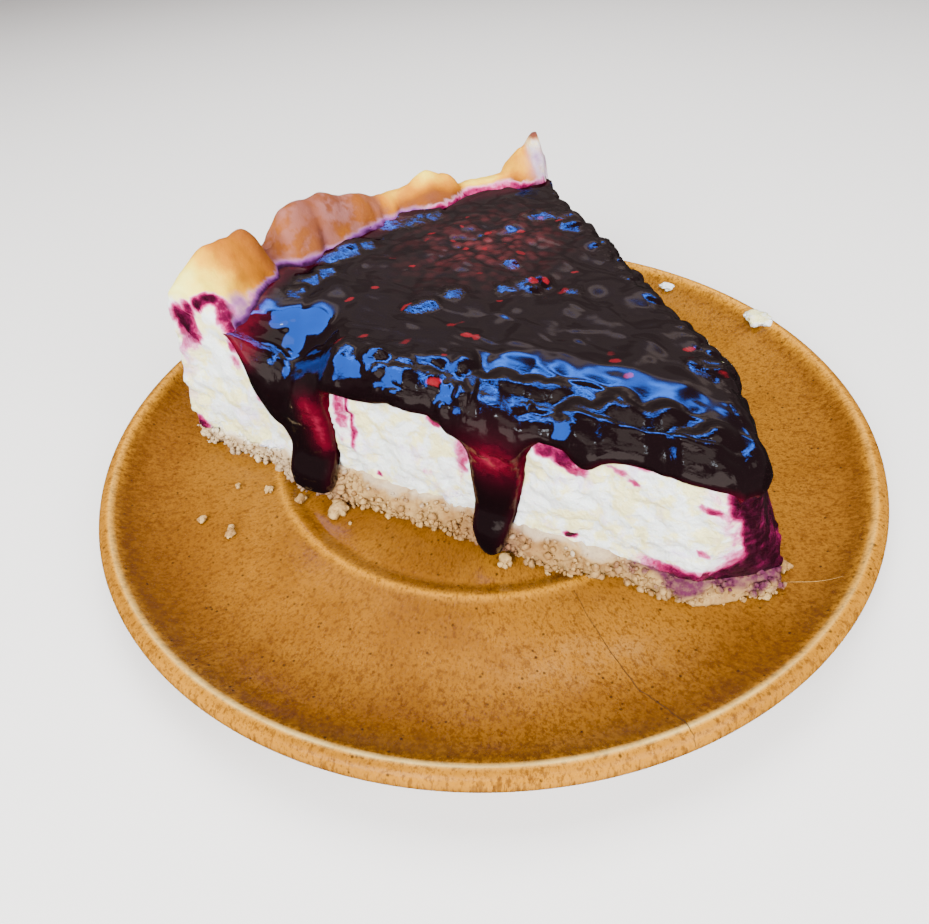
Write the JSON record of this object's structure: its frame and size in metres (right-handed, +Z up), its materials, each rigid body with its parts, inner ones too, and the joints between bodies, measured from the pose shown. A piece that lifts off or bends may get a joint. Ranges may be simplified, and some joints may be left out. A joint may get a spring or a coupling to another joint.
{
  "type": "cheesecake slice on plate",
  "caption": "Wedge of cheesecake with a crumb base, a baked wavy rim and a glossy berry topping that drips down the cut, on a round shallow stoneware plate.",
  "frame": {"origin": "middle of the plate's foot ring, on the table", "axes": "+Z up; +X to the picture's right; -Y towards the viewer and the jam-run cut face"},
  "size_m": [0.1698, 0.1698, 0.0543],
  "materials": {
    "plate_glaze": "glossy ochre glaze with fine dark brown speckle",
    "biscuit_crumb": "pale pressed biscuit crumbs, dry and rough",
    "baked_cheese": "moist white baked cheese, browned golden on the rim",
    "berry_jam": "wet, nearly black purple berry jam, crimson where it is thin"
  },
  "bodies": {
    "root": {"plate": "plate_glaze", "crumb_base": "biscuit_crumb", "cheese_filling": "baked_cheese", "berry_topping": "berry_jam"}
  },
  "joints": []
}
